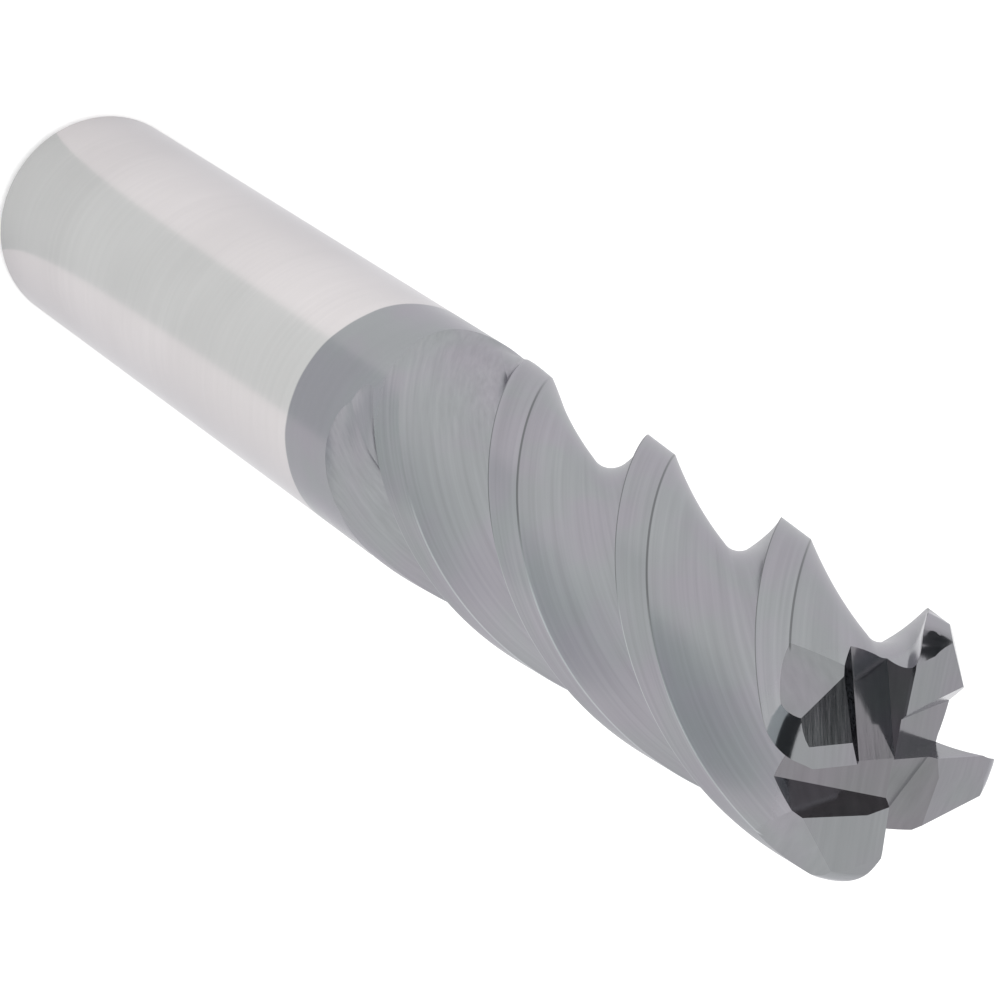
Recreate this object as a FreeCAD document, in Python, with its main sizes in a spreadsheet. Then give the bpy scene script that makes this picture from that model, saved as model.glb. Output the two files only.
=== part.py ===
import FreeCAD, Part
"""Corner radius end mill: one piece of carbide, four right-hand helical flutes, standing on its shank.

Millimetres. The origin is the centre of the shank's end face and +Z runs along the tool to its
cutting end. A tooth is numbered by its end cutting edge, and the first one lies along +X.
"""
import math
import os

import Sketcher

Vector = FreeCAD.Vector
Z_AXIS = Vector(0, 0, 1)

# driving dimensions, one cell each
SIZES = [
    ("tool_diameter", 19.05),
    ("taper_start", 63.0),
    ("taper_drop", 0.01),
    ("edge_drop", 0.025),
    ("overall_length", 127.0),
    ("shank_chamfer", 1.0),
    ("corner_radius", 3.175),
    ("flute_count", 4),
    ("helix_lead", 71.33),
    ("core_radius", 5.75),
    ("rake_angle", 6.0),
    ("root_radius", 2.2),
    ("floor_angle", 23.0),
    ("back_bulge", 0.62),
    ("land_angle", 20.0),
    ("land_drop", 0.22),
    ("edge_overlap", 2.0),
    ("runout_start", 63.6),
    ("runout_nose", 3.0),
    ("runout_length", 13.0),
    ("runout_depth", 0.8),
    ("dish_angle", 2.5),
    ("end_land_width", 1.5),
    ("end_land_angle", 8.0),
    ("end_clearance_angle", 20.0),
    ("corner_land_angle", 8.0),
    ("heel_angle", 60.0),
    ("heel_heading", 65.0),
    ("heel_distance", 5.8),
    ("gash_angle", 30.0),
    ("gash_floor", 2.8),
    ("gash_lean", 8.0),
    ("gash_wall_angle", 45.0),
    ("gash_offset", 0.25),
]

doc = FreeCAD.newDocument("corner_radius_end_mill")
sheet = doc.addObject("Spreadsheet::Sheet", "sizes")
for row, (alias, value) in enumerate(SIZES, start=1):
    sheet.set(f"A{row}", alias)
    sheet.set(f"B{row}", str(value))
    sheet.setAlias(f"B{row}", alias)
doc.recompute()


def size(alias):
    """The number in the cell of that name."""
    return float(sheet.get(alias))


def origin_plane(body, role):
    """One of the body's own origin planes."""
    return next(f for f in body.Origin.OriginFeatures if f.Role == role)


def new_sketch(body, name, role):
    """An empty sketch on one of the body's origin planes."""
    sketch = body.newObject("Sketcher::SketchObject", name)
    sketch.AttachmentSupport = [(origin_plane(body, role), "")]
    sketch.MapMode = "FlatFace"
    return sketch


def make_blank():
    """The ground rod: chamfered shank end, shank, a body a hair slimmer at its end, rounded corner."""
    body = doc.addObject("PartDesign::Body", "blank")
    sketch = new_sketch(body, "blank_half", "XZ_Plane")
    radius = size("tool_diameter") / 2
    length = size("overall_length")
    chamfer = size("shank_chamfer")
    corner = size("corner_radius")
    rise = size("taper_start")
    slim = radius - size("taper_drop")
    points = [
        Vector(0, 0, 0),
        Vector(radius - chamfer, 0, 0),
        Vector(radius, chamfer, 0),
        Vector(radius, rise, 0),
        Vector(slim, length - corner, 0),
        Vector(slim - corner, length, 0),
        Vector(0, length, 0),
    ]
    base, bevel, side, body_side = (
        sketch.addGeometry(Part.LineSegment(points[n], points[n + 1]), False) for n in range(4)
    )
    centre = Vector(slim - corner, length - corner, 0)
    circle = Part.Circle(centre, Vector(0, 0, 1), corner)
    arc = sketch.addGeometry(Part.ArcOfCircle(circle, 0, math.pi / 2), False)
    top = sketch.addGeometry(Part.LineSegment(points[5], points[6]), False)
    axis = sketch.addGeometry(Part.LineSegment(points[6], points[0]), False)
    chain = [base, bevel, side, body_side]
    for first, second in zip(chain, chain[1:]):
        sketch.addConstraint(Sketcher.Constraint("Coincident", first, 2, second, 1))
    sketch.addConstraint(Sketcher.Constraint("Coincident", body_side, 2, arc, 1))
    sketch.addConstraint(Sketcher.Constraint("Horizontal", arc, 1, arc, 3))
    sketch.addConstraint(Sketcher.Constraint("Tangent", arc, 2, top, 1))
    sketch.addConstraint(Sketcher.Constraint("Coincident", top, 2, axis, 1))
    sketch.addConstraint(Sketcher.Constraint("Coincident", axis, 2, base, 1))
    sketch.addConstraint(Sketcher.Constraint("Coincident", base, 1, -1, 1))
    sketch.addConstraint(Sketcher.Constraint("Horizontal", base))
    sketch.addConstraint(Sketcher.Constraint("Vertical", side))
    sketch.addConstraint(Sketcher.Constraint("Horizontal", top))
    sketch.addConstraint(Sketcher.Constraint("Vertical", axis))
    for kind, places, name, formula, now in (
        ("DistanceX", (-1, 1, side, 1), "radius", "sizes.tool_diameter / 2", radius),
        ("DistanceX", (base, 2, side, 1), "bevel_x", "sizes.shank_chamfer", chamfer),
        ("DistanceY", (base, 2, side, 1), "bevel_z", "sizes.shank_chamfer", chamfer),
        ("DistanceY", (-1, 1, side, 2), "rise", "sizes.taper_start", rise),
        ("DistanceX", (body_side, 2, body_side, 1), "slimmer", "sizes.taper_drop", radius - slim),
        ("DistanceY", (-1, 1, axis, 1), "length", "sizes.overall_length", length),
        ("Radius", (arc,), "corner", "sizes.corner_radius", corner),
    ):
        index = sketch.addConstraint(Sketcher.Constraint(kind, *places, now))
        sketch.renameConstraint(index, name)
        sketch.setExpression(f"Constraints.{name}", formula)
    turned = body.newObject("PartDesign::Revolution", "turned_rod")
    turned.Profile = sketch
    turned.ReferenceAxis = (sketch, ["V_Axis"])
    turned.Angle = 360
    body.Tip = turned
    return body


def polar(radius, degrees, height=0.0):
    """A point from its distance to the axis, its angle and its height."""
    angle = math.radians(degrees)
    return Vector(radius * math.cos(angle), radius * math.sin(angle), height)


def flute_outline():
    """One flute across the tool, its cutting edge on +X, as the ends and middles of its lines.

    The rake face leans in from the cutting edge, the root arc touches the core, the tooth's back
    bulges up to the heel, and the land falls a little from the next cutting edge to that heel.
    """
    radius = size("tool_diameter") / 2
    rake = math.radians(size("rake_angle"))
    core = size("core_radius")
    root = size("root_radius")
    pitch = 360.0 / size("flute_count")
    inward = Vector(-math.cos(rake), -math.sin(rake), 0)
    across = Vector(-math.sin(rake), math.cos(rake), 0)
    edge = Vector(radius, 0, 0)
    # the root circle touches the rake line and the core: solve for the depth of the rake face
    start = edge + across * root
    along = start.dot(inward)
    depth = -along - math.sqrt(along * along - start.dot(start) + (core + root) ** 2)
    foot = edge + inward * depth
    centre = foot + across * root
    deepest = centre * (core / (core + root))
    floor_turn = math.radians(size("floor_angle"))
    heading = Vector(math.cos(floor_turn), math.sin(floor_turn), 0)
    reach = centre.dot(heading)
    floor = heading * (reach - math.sqrt(root * root - centre.dot(centre) + reach * reach))
    heel = polar(radius - size("edge_drop") - size("land_drop"), pitch - size("land_angle"))
    chord = heel - floor
    outward = Vector(chord.y, -chord.x, 0).normalize()
    back = (heel + floor) * 0.5 + outward * size("back_bulge")
    # the land runs on past the next cutting edge, so that no strip of the rod is left beside it
    past = size("edge_overlap")
    per_degree = size("land_drop") / size("land_angle")
    sharp = radius - size("edge_drop")
    land = polar(sharp - per_degree * size("land_angle") / 2, pitch - size("land_angle") / 2)
    end = polar(sharp + per_degree * past, pitch + past)
    clear = radius + size("core_radius") / 2
    above_end = polar(clear, pitch + past)
    above = polar(clear, pitch / 2)
    outside = edge - inward * (clear - radius)
    above_edge = polar(clear, math.degrees(math.atan2(outside.y, outside.x)))
    return [foot, deepest, floor, back, heel, land, end, above_end, above, above_edge]


def shallow_outline():
    """The same outline where the flute begins: a wide scoop hardly below the surface."""
    radius = size("tool_diameter") / 2
    depth = size("runout_depth")
    heel = 360.0 / size("flute_count") - size("land_angle")
    clear = radius + size("core_radius") / 2
    end = 360.0 / size("flute_count") + size("edge_overlap")
    return [
        polar(radius - 0.35 * depth, 0.24 * heel),
        polar(radius - 0.8 * depth, 0.43 * heel),
        polar(radius - depth, 0.6 * heel),
        polar(radius - 0.75 * depth, 0.82 * heel),
        polar(radius - 0.2 * depth, heel),
        polar(radius, (heel + end) / 2),
        polar(radius + 0.02, end),
        polar(clear, end),
        polar(clear, 0.4 * heel),
        polar(clear, -0.4 * heel),
    ]


def bow(start, middle, end):
    """The arc through three points as a single cubic, which keeps the lofted faces light."""
    arc = Part.Arc(start, middle, end).toShape()
    radius = arc.Curve.Radius
    handle = 4 / 3 * math.tan(arc.Length / radius / 4) * radius
    leaving = arc.tangentAt(arc.FirstParameter) * handle
    arriving = arc.tangentAt(arc.LastParameter) * handle
    curve = Part.BezierCurve()
    curve.setPoles([start, start + leaving, end - arriving, end])
    return curve.toShape()


def flute_wire(outline, height, lift, turn):
    """The flute's outline at one height, moved out by lift and turned about the axis."""
    def place(point):
        flat, angle = point
        return polar(flat + lift, angle + turn, height)

    foot, deepest, floor, back, heel, land, end, above_end, above, above_edge = map(place, outline)
    edges = [
        Part.LineSegment(above_edge, foot).toShape(),
        bow(foot, deepest, floor),
        bow(floor, back, heel),
        bow(heel, land, end),
        Part.LineSegment(end, above_end).toShape(),
        bow(above_end, above, above_edge),
    ]
    return Part.Wire(edges)


def radius_and_angle(point):
    """A point as its distance to the axis and its angle."""
    return math.hypot(point.x, point.y), math.degrees(math.atan2(point.y, point.x))


def flute_solid():
    """The metal one flute takes away: helical, and lifting out of the rod at its shank end."""
    full = [radius_and_angle(point) for point in flute_outline()]
    shallow = [radius_and_angle(point) for point in shallow_outline()]
    length = size("overall_length")
    lead = size("helix_lead")
    start = size("runout_start")
    nose = size("runout_nose")
    run = size("runout_length")
    depth = size("runout_depth")
    beyond = length + 3.0
    deep = start + run
    heights = [start - 0.4 * nose + 1.4 * nose * n / 4 for n in range(4)]
    heights += [start + nose + (run - nose) * n / 4 for n in range(5)]
    steps = max(4, round((beyond - deep) / (lead / 10)))
    heights += [deep + (beyond - deep) * (n + 1) / steps for n in range(steps)]
    wires = []
    for height in heights:
        lift = depth * (max(0.0, start + nose - height) / nose) ** 2
        share = min(1.0, max(0.0, (height - start - 0.5 * nose) / (run - 0.5 * nose)))
        share = share * share * (3 - 2 * share)
        outline = [
            (far[0] + share * (near[0] - far[0]), far[1] + share * (near[1] - far[1]))
            for far, near in zip(shallow, full)
        ]
        wires.append(flute_wire(outline, height, lift, 360.0 * (height - length) / lead))
    return Part.makeLoft(wires, True, False, False, 3)


def quarter_turns(name, shape):
    """The same cutter once for each flute."""
    cutters = []
    count = int(size("flute_count"))
    for n in range(count):
        cutter = doc.addObject("Part::Feature", f"{name}_{n + 1}")
        cutter.Shape = shape.copy()
        cutter.Placement = FreeCAD.Placement(Vector(0, 0, 0), FreeCAD.Rotation(Z_AXIS, 360.0 * n / count))
        cutters.append(cutter)
    return cutters


def prism(points, direction):
    """A closed outline drawn out in one direction."""
    face = Part.Face(Part.makePolygon(points + points[:1]))
    return face.extrude(direction)


def gash_solid():
    """The notch ground into the end in front of the first tooth.

    Its steep wall starts in the end cutting edge, its floor falls away outwards, and its far wall
    slopes back up to the next tooth.
    """
    length = size("overall_length")
    reach = size("tool_diameter")
    fall = math.tan(math.radians(size("gash_angle")))
    lean = math.tan(math.radians(size("gash_lean")))
    slope = math.tan(math.radians(size("gash_wall_angle")))
    width = size("gash_floor")
    # the outline stands at the far end of the notch and is drawn inwards and up
    drop = reach * fall
    out = Vector(reach, 0, length)
    rise = drop + size("gash_offset") + 2.0
    near = -drop * lean
    points = [
        out + Vector(0, near, -drop - size("gash_offset")),
        out + Vector(0, near + width, -drop - size("gash_offset")),
        out + Vector(0, near + width + rise * slope, rise - drop - size("gash_offset")),
        out + Vector(0, near + rise * lean, rise - drop - size("gash_offset")),
    ]
    inwards = Vector(-reach - 0.6, drop * lean, drop)
    return prism(points, inwards)


def end_relief_solid():
    """What is ground off the end behind the first tooth's end cutting edge, in two planes."""
    length = size("overall_length")
    reach = size("tool_diameter") / 2 + 2.0
    flat = size("tool_diameter") / 2 - size("corner_radius")
    dish = math.tan(math.radians(size("dish_angle")))
    width = size("end_land_width")
    land_fall = width * math.tan(math.radians(size("end_land_angle")))
    clear_fall = (reach - width) * math.tan(math.radians(size("end_clearance_angle")))
    start = Vector(0, 0, length - flat * dish)
    points = [
        start,
        start + Vector(0, -width, -land_fall),
        start + Vector(0, -reach, -land_fall - clear_fall),
        start + Vector(0, -reach, 3.0),
        start + Vector(0, 0, 3.0),
    ]
    return prism(points, Vector(reach, 0, reach * dish))


def corner_relief_solid():
    """What is ground off the rounded corner behind its cutting edge."""
    length = size("overall_length")
    corner = size("corner_radius")
    radius = size("tool_diameter") / 2
    half = math.sqrt(0.5)
    lean = math.tan(math.radians(size("corner_land_angle")))
    middle = Vector(radius - corner + corner * half, 0, length - corner + corner * half)
    edge_turn = 2 * math.pi * (corner - corner * half) / size("helix_lead")
    middle.y = -middle.x * math.sin(edge_turn)
    outward = Vector(half, 0, half)
    along = Vector(half, 0, -half)
    back = Vector(0, -1, 0)
    width = radius * 0.6
    points = [
        middle,
        middle + back * width - outward * (width * lean),
        middle + back * width + outward * corner,
        middle + outward * corner,
    ]
    shifted = [point - along * (2.5 * corner) for point in points]
    return prism(shifted, along * (5.0 * corner))


def heel_relief_solid():
    """What is ground off the first tooth's heel: a steep plane between the end relief and the flute."""
    steep = math.radians(size("heel_angle"))
    reach = size("tool_diameter") / 2
    heading = polar(1.0, -size("heel_heading"))
    fall = heading * math.cos(steep) - Z_AXIS * math.sin(steep)
    crest = heading * size("heel_distance") + Z_AXIS * size("overall_length")
    above = crest - fall * 3.0
    below = crest + fall * reach
    outside = Vector(below.x, below.y, above.z)
    across = polar(1.2 * reach, 90.0 - size("heel_heading"))
    return prism([above, below, outside], across)


def cut_all(name, base, cutters):
    """Cuts the cutters from the base, one after the other."""
    for n, cutter in enumerate(cutters, start=1):
        cut = doc.addObject("Part::Cut", f"{name}_{n}")
        cut.Base = base
        cut.Tool = cutter
        base = cut
    return base


blank = make_blank()
doc.recompute()
fluted = cut_all("fluted", blank, quarter_turns("flute", flute_solid()))
gashed = cut_all("gashed", fluted, quarter_turns("gash", gash_solid()))
relieved = cut_all("relieved", gashed, quarter_turns("end_relief", end_relief_solid()))
heeled = cut_all("heeled", relieved, quarter_turns("heel_relief", heel_relief_solid()))
end_mill = cut_all("cornered", heeled, quarter_turns("corner_relief", corner_relief_solid()))
end_mill.Label = "end_mill"
doc.recompute()

for item in doc.Objects:
    if "Invalid" in item.State or "Error" in item.State:
        raise RuntimeError(f"{item.Name} did not build: {item.State}")

SUB_PARTS = [end_mill]
for item in SUB_PARTS:
    shape = item.Shape
    if shape.isNull() or not shape.isValid() or len(shape.Solids) != 1:
        raise RuntimeError(f"{item.Label} is not one valid solid")

os.makedirs("parts", exist_ok=True)
for item in SUB_PARTS:
    item.Shape.exportStep(f"parts/{item.Label}.step")
    print(item.Label, round(item.Shape.Volume, 1), "mm3", len(item.Shape.Faces), "faces")
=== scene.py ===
import logging
import math
from dataclasses import dataclass, field
from enum import Enum

import bpy
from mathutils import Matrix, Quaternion, Vector


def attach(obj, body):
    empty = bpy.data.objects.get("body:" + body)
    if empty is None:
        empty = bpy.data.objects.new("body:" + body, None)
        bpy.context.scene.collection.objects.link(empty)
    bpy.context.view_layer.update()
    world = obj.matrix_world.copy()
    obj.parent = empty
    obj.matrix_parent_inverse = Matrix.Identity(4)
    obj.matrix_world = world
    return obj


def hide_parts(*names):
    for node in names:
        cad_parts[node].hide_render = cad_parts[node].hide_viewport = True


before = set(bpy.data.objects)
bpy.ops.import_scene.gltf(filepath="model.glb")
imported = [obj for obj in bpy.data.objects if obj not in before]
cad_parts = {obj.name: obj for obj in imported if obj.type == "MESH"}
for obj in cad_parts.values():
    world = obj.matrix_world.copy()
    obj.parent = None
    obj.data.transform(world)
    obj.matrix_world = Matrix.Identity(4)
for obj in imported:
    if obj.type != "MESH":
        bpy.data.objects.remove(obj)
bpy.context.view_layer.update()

LOG = logging.getLogger("end_mill")
MM = 0.001


class Cut(Enum):
    """Which grinding cut left a face, as the number kept in the mesh's "cut" attribute."""

    ROD = 0
    FLUTE = 1
    GASH = 2
    END_RELIEF = 3
    CORNER_RELIEF = 4
    HEEL_RELIEF = 5


class Grain(Enum):
    """Which way a finish's grinding lines run."""

    AROUND = "around"
    HELIX = "helix"
    RADIAL = "radial"


Outline = list[tuple[float, float]]


@dataclass(frozen=True)
class ToolSizes:
    """The end mill's sizes in metres and degrees; it stands on its shank end at the origin."""

    radius: float = 9.525 * MM
    length: float = 127.0 * MM
    shank_chamfer: float = 1.0 * MM
    corner_radius: float = 3.175 * MM
    coating_start: float = 57.05 * MM
    flute_count: int = 4
    lead: float = 71.33 * MM
    core: float = 5.75 * MM
    rake: float = 6.0
    root: float = 2.2 * MM
    floor_turn: float = 23.0
    back_bulge: float = 0.62 * MM
    land_turn: float = 20.0
    land_drop: float = 0.22 * MM
    edge_drop: float = 0.025 * MM
    edge_overlap: float = 2.0
    taper_start: float = 63.0 * MM
    taper_drop: float = 0.01 * MM
    runout_start: float = 63.6 * MM
    runout_nose: float = 3.0 * MM
    runout_length: float = 13.0 * MM
    runout_depth: float = 0.8 * MM
    dish: float = 2.5
    end_land_width: float = 1.5 * MM
    end_land_fall: float = 8.0
    end_clearance: float = 20.0
    corner_land_fall: float = 8.0
    heel_fall: float = 60.0
    heel_heading: float = 65.0
    heel_distance: float = 5.8 * MM
    gash_fall: float = 30.0
    gash_floor: float = 2.8 * MM
    gash_lean: float = 8.0
    gash_wall: float = 45.0
    gash_offset: float = 0.25 * MM

    @property
    def pitch(self) -> float:
        """The angle from one tooth to the next, in degrees."""
        return 360.0 / self.flute_count


def at(radius: float, degrees: float) -> Vector:
    """A point of the cross-section from its distance to the axis and its angle."""
    turn = math.radians(degrees)
    return Vector((radius * math.cos(turn), radius * math.sin(turn)))


def as_polar(point: Vector) -> tuple[float, float]:
    """A point of the cross-section as distance to the axis and angle in radians."""
    return point.length, math.atan2(point.y, point.x)


def line_points(start: Vector, end: Vector, count: int) -> list[Vector]:
    """Evenly spaced points from start up to, but without, end."""
    return [start.lerp(end, n / count) for n in range(count)]


def arc_points(start: Vector, middle: Vector, end: Vector, count: int) -> list[Vector]:
    """Points along the circle through three points.

    Args:
        start: Where the arc begins.
        middle: A point that it passes.
        end: Where it ends.
        count: How many points to give.

    Returns:
        Evenly spaced points from start up to, but without, end.
    """
    first, second = middle - start, end - middle
    mid_a, mid_b = (start + middle) / 2, (middle + end) / 2
    cross = first.x * second.y - first.y * second.x
    along = (mid_b - mid_a).dot(second) / -cross
    centre = mid_a + Vector((first.y, -first.x)) * along
    arm = start - centre
    begin = math.atan2(arm.y, arm.x)
    finish = math.atan2(end.y - centre.y, end.x - centre.x)
    if cross > 0:
        span = (finish - begin) % math.tau
    else:
        span = -((begin - finish) % math.tau)
    turns = (begin + span * n / count for n in range(count))
    return [centre + Vector((math.cos(t), math.sin(t))) * arm.length for t in turns]


class GeometryTree:
    """A Geometry Nodes tree with named inputs and short ways to add its nodes."""

    def __init__(self, name: str) -> None:
        """Makes the empty tree with a geometry input and output."""
        self.tree = bpy.data.node_groups.new(name, "GeometryNodeTree")
        self.tree.interface.new_socket("Geometry", in_out="INPUT", socket_type="NodeSocketGeometry")
        self.tree.interface.new_socket("Geometry", in_out="OUTPUT", socket_type="NodeSocketGeometry")
        self.inputs = self.tree.nodes.new("NodeGroupInput")
        self.outputs = self.tree.nodes.new("NodeGroupOutput")
        self.values: dict[str, object] = {}

    def add_input(self, name: str, kind: str, value: object) -> bpy.types.NodeSocket:
        """Adds a named input.

        Args:
            name: What the input is called.
            kind: Float, Int, Object or Material.
            value: What the modifier sets it to.

        Returns:
            The socket to link from.
        """
        socket = self.tree.interface.new_socket(name, in_out="INPUT", socket_type=f"NodeSocket{kind}")
        self.values[socket.identifier] = value
        return next(s for s in self.inputs.outputs if s.identifier == socket.identifier)

    def node(self, kind: str, **inputs: object) -> bpy.types.Node:
        """Adds a node and fills its inputs.

        Args:
            kind: The node's type.
            **inputs: Values or sockets by input name with underscores for spaces, or node settings.

        Returns:
            The new node.
        """
        made = self.tree.nodes.new(kind)
        later = {}
        for key, value in inputs.items():
            if key in made.bl_rna.properties:
                setattr(made, key, value)
            else:
                later[key.replace("_", " ")] = value
        for key, value in later.items():
            self.feed(made, key, value)
        return made

    def feed(self, node: bpy.types.Node, key: str | int, value: object) -> None:
        """Sets or links one input of a node; several sockets of one name are told apart by being enabled."""
        if isinstance(key, int):
            socket = node.inputs[key]
        else:
            socket = next(s for s in node.inputs if s.name == key and s.enabled)
        if isinstance(value, bpy.types.NodeSocket):
            self.tree.links.new(value, socket)
        else:
            socket.default_value = value

    def math(self, operation: str, first: object, second: object = None) -> bpy.types.NodeSocket:
        """One step of arithmetic on numbers or sockets; gives back the result's socket."""
        made = self.tree.nodes.new("ShaderNodeMath")
        made.operation = operation
        self.feed(made, 0, first)
        if second is not None:
            self.feed(made, 1, second)
        return made.outputs[0]

    def mix(self, share: object, first: object, second: object) -> bpy.types.NodeSocket:
        """first where share is 0 and second where it is 1."""
        gap = self.math("SUBTRACT", second, first)
        return self.math("ADD", first, self.math("MULTIPLY", share, gap))

    def attribute(self, name: str, kind: str = "FLOAT") -> bpy.types.NodeSocket:
        """The value of a named attribute."""
        made = self.tree.nodes.new("GeometryNodeInputNamedAttribute")
        made.data_type = kind
        made.inputs["Name"].default_value = name
        return made.outputs["Attribute"]

    def apply_to(self, host: bpy.types.Object) -> bpy.types.Mesh:
        """Runs the tree on an object and freezes the result.

        Args:
            host: The object whose mesh goes in.

        Returns:
            The evaluated result as a plain mesh.
        """
        modifier = host.modifiers.new(self.tree.name, "NODES")
        modifier.node_group = self.tree
        for identifier, value in self.values.items():
            modifier[identifier] = value
        bpy.context.view_layer.update()
        depsgraph = bpy.context.evaluated_depsgraph_get()
        mesh = bpy.data.meshes.new_from_object(host.evaluated_get(depsgraph), depsgraph=depsgraph)
        host.modifiers.remove(modifier)
        return mesh


def helper_object(
    name: str, points: list[Vector], faces: list[tuple[int, ...]], cut: Cut
) -> bpy.types.Object:
    """A mesh object that a tree reads.

    Args:
        name: The object's name.
        points: Its corners.
        faces: Its faces as corner numbers, or none for a closed line through the points.
        cut: What its faces are marked as.

    Returns:
        The object.
    """
    mesh = bpy.data.meshes.new(name)
    count = len(points)
    edges = [] if faces else [(n, (n + 1) % count) for n in range(count)]
    mesh.from_pydata([tuple(p) for p in points], edges, faces)
    if faces:
        mark = mesh.attributes.new("cut", "FLOAT", "FACE")
        mark.data.foreach_set("value", [float(cut.value)] * len(faces))
    obj = bpy.data.objects.new(name, mesh)
    bpy.context.scene.collection.objects.link(obj)
    return obj


def prism(name: str, outline: list[Vector], direction: Vector, cut: Cut) -> bpy.types.Object:
    """A closed outline drawn out in one direction, with its faces outwards.

    Args:
        name: The object's name.
        outline: The corners of the outline.
        direction: How far and which way it is drawn.
        cut: What its faces are marked as.

    Returns:
        The prism's object.
    """
    count = len(outline)
    normal = sum((outline[n].cross(outline[(n + 1) % count]) for n in range(count)), Vector())
    ring = list(outline) if normal.dot(direction) > 0 else list(reversed(outline))
    points = ring + [p + direction for p in ring]
    faces = [tuple(reversed(range(count))), tuple(range(count, 2 * count))]
    faces += [(n, (n + 1) % count, (n + 1) % count + count, n + count) for n in range(count)]
    return helper_object(name, points, faces, cut)


@dataclass
class Rod:
    """The ground rod that the flutes are cut into."""

    sizes: ToolSizes
    sides: int = 224
    runout_rings: int = 22
    runout_reach: float = 16.0 * MM
    corner_rings: int = 14

    def profile(self) -> Outline:
        """The rod's half outline as (radius, height), from the shank's end to the cutting end."""
        s = self.sizes
        slim = s.radius - s.taper_drop
        rows = [
            (s.radius - s.shank_chamfer, 0.0), (s.radius, s.shank_chamfer), (s.radius, 0.5 * s.taper_start),
        ]
        reach = s.length - s.corner_radius - s.taper_start
        for n in range(self.runout_rings):
            height = s.taper_start + self.runout_reach * n / (self.runout_rings - 1)
            rows.append((s.radius - s.taper_drop * (height - s.taper_start) / reach, height))
        centre_x, centre_z = slim - s.corner_radius, s.length - s.corner_radius
        for n in range(self.corner_rings + 1):
            turn = math.pi / 2 * n / self.corner_rings
            across, up = s.corner_radius * math.cos(turn), s.corner_radius * math.sin(turn)
            rows.append((centre_x + across, centre_z + up))
        return rows

    def build(self) -> bpy.types.Object:
        """The rod as a closed mesh."""
        rows = self.profile()
        sides = self.sides
        points = []
        for radius, height in rows:
            for n in range(sides):
                turn = math.tau * n / sides
                points.append(Vector((radius * math.cos(turn), radius * math.sin(turn), height)))
        top = (len(rows) - 1) * sides
        faces = [tuple(reversed(range(sides))), tuple(range(top, top + sides))]
        for low in range(0, top, sides):
            for n in range(sides):
                m = (n + 1) % sides
                faces.append((low + n, low + m, low + sides + m, low + sides + n))
        return helper_object("rod", points, faces, Cut.ROD)


@dataclass
class FluteCutter:
    """The metal that one flute takes away: helical, and lifting out of the rod at its shank end."""

    sizes: ToolSizes
    rake_steps: int = 8
    root_steps: int = 18
    back_steps: int = 18
    land_steps: int = 9
    lid_steps: int = 2
    outer_steps: int = 6
    rows: int = 190
    overrun: float = 3.0 * MM

    def deep_points(self) -> list[Vector]:
        """The full flute's ends and middles: foot, deepest, floor, back, heel, land, end and outside."""
        s = self.sizes
        rake, turn = math.radians(s.rake), math.radians(s.floor_turn)
        inward = Vector((-math.cos(rake), -math.sin(rake)))
        across = Vector((-math.sin(rake), math.cos(rake)))
        edge = Vector((s.radius, 0))
        start = edge + across * s.root
        along = start.dot(inward)
        foot = edge + inward * (-along - math.sqrt(along**2 - start.dot(start) + (s.core + s.root) ** 2))
        centre = foot + across * s.root
        deepest = centre * (s.core / (s.core + s.root))
        heading = Vector((math.cos(turn), math.sin(turn)))
        reach = centre.dot(heading)
        floor = heading * (reach - math.sqrt(s.root**2 - centre.dot(centre) + reach**2))
        sharp = s.radius - s.edge_drop
        heel = at(sharp - s.land_drop, s.pitch - s.land_turn)
        chord = heel - floor
        back = (heel + floor) / 2 + Vector((chord.y, -chord.x)).normalized() * s.back_bulge
        land = at(sharp - s.land_drop / 2, s.pitch - s.land_turn / 2)
        end = at(sharp + s.land_drop * s.edge_overlap / s.land_turn, s.pitch + s.edge_overlap)
        clear = s.radius + s.core / 2
        outside = edge - inward * (clear - s.radius)
        outside_turn = math.degrees(math.atan2(outside.y, outside.x))
        return [
            foot, deepest, floor, back, heel, land, end,
            at(clear, s.pitch + s.edge_overlap), at(clear, s.pitch / 2), at(clear, outside_turn),
        ]

    def shallow_points(self) -> list[Vector]:
        """The same points where the flute begins: a wide scoop hardly below the surface."""
        s = self.sizes
        depth, heel = s.runout_depth, s.pitch - s.land_turn
        end, clear = s.pitch + s.edge_overlap, s.radius + s.core / 2
        return [
            at(s.radius - 0.35 * depth, 0.24 * heel),
            at(s.radius - 0.8 * depth, 0.43 * heel),
            at(s.radius - depth, 0.6 * heel),
            at(s.radius - 0.75 * depth, 0.82 * heel),
            at(s.radius - 0.2 * depth, heel),
            at(s.radius, (heel + end) / 2),
            at(s.radius + 0.02 * MM, end),
            at(clear, end),
            at(clear, 0.4 * heel),
            at(clear, -0.4 * heel),
        ]

    def trace(self, points: list[Vector]) -> list[Vector]:
        """The closed outline through the ten points, as evenly spaced points on its lines and arcs."""
        foot, deepest, floor, back, heel, land, end, above_end, above, outside = points
        traced = line_points(outside, foot, self.rake_steps)
        traced += arc_points(foot, deepest, floor, self.root_steps)
        traced += arc_points(floor, back, heel, self.back_steps)
        traced += arc_points(heel, land, end, self.land_steps)
        traced += line_points(end, above_end, self.lid_steps)
        return traced + arc_points(above_end, above, outside, self.outer_steps)

    def build(self) -> bpy.types.Object:
        """The flute's outline as a closed line that carries both its shapes as attributes."""
        deep = self.trace(self.deep_points())
        shallow = self.trace(self.shallow_points())
        obj = helper_object("flute_outline", [Vector((*p, 0)) for p in deep], [], Cut.FLUTE)
        for name, shape in (("deep", deep), ("shallow", shallow)):
            polar = [as_polar(p) for p in shape]
            for part, label in enumerate(("radius", "turn")):
                layer = obj.data.attributes.new(f"{name}_{label}", "FLOAT", "POINT")
                layer.data.foreach_set("value", [p[part] for p in polar])
        return obj


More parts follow.
